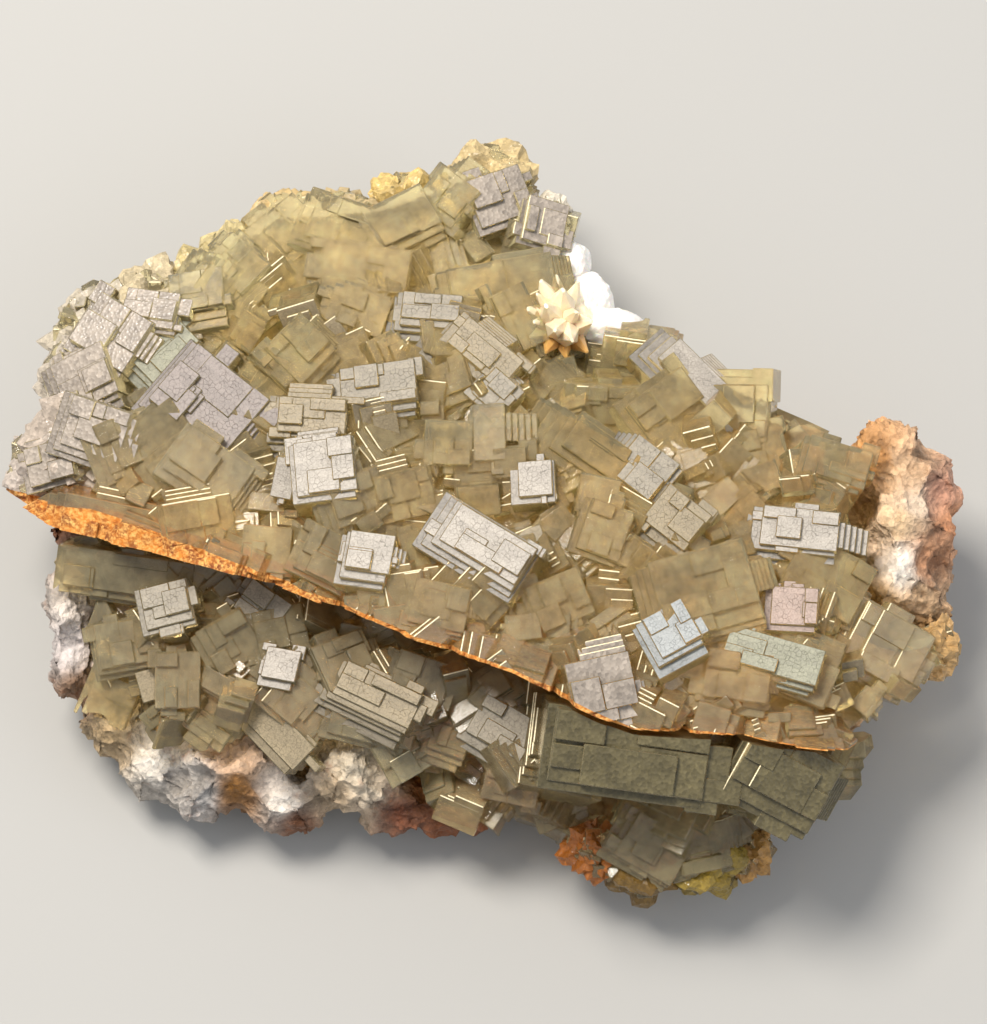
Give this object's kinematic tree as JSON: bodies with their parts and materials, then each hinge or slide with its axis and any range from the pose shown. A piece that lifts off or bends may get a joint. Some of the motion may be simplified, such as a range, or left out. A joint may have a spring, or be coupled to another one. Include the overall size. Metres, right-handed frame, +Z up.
{
  "type": "rainbow fluorite specimen",
  "caption": "Hand-sized plate of grown-together golden fluorite cubes on its rock, with a fracture ledge and a calcite cluster. It lies on its flat back as a display specimen.",
  "frame": {"origin": "middle of the flat resting face on the underside of the rock", "axes": "+X along the plate's long side, to the right as the crystals are looked down on with the fracture ledge nearest; +Y towards the far side; +Z up, out of the crystals"},
  "size_m": [0.1206, 0.0975, 0.0398],
  "materials": {
    "iron_stained_rock": "rough rock, cream and white with iron rust",
    "golden_fluorite": "see-through honey fluorite, some faces with a silvery iridescent skin",
    "smoky_fluorite": "see-through smoky golden fluorite, some blocks frosted with sugary quartz",
    "cream_calcite": "satin cream and white calcite"
  },
  "bodies": {
    "root": {"matrix_rock": "iron_stained_rock", "upper_fluorite": "golden_fluorite", "lower_fluorite": "smoky_fluorite", "calcite_cluster": "cream_calcite"}
  },
  "joints": []
}
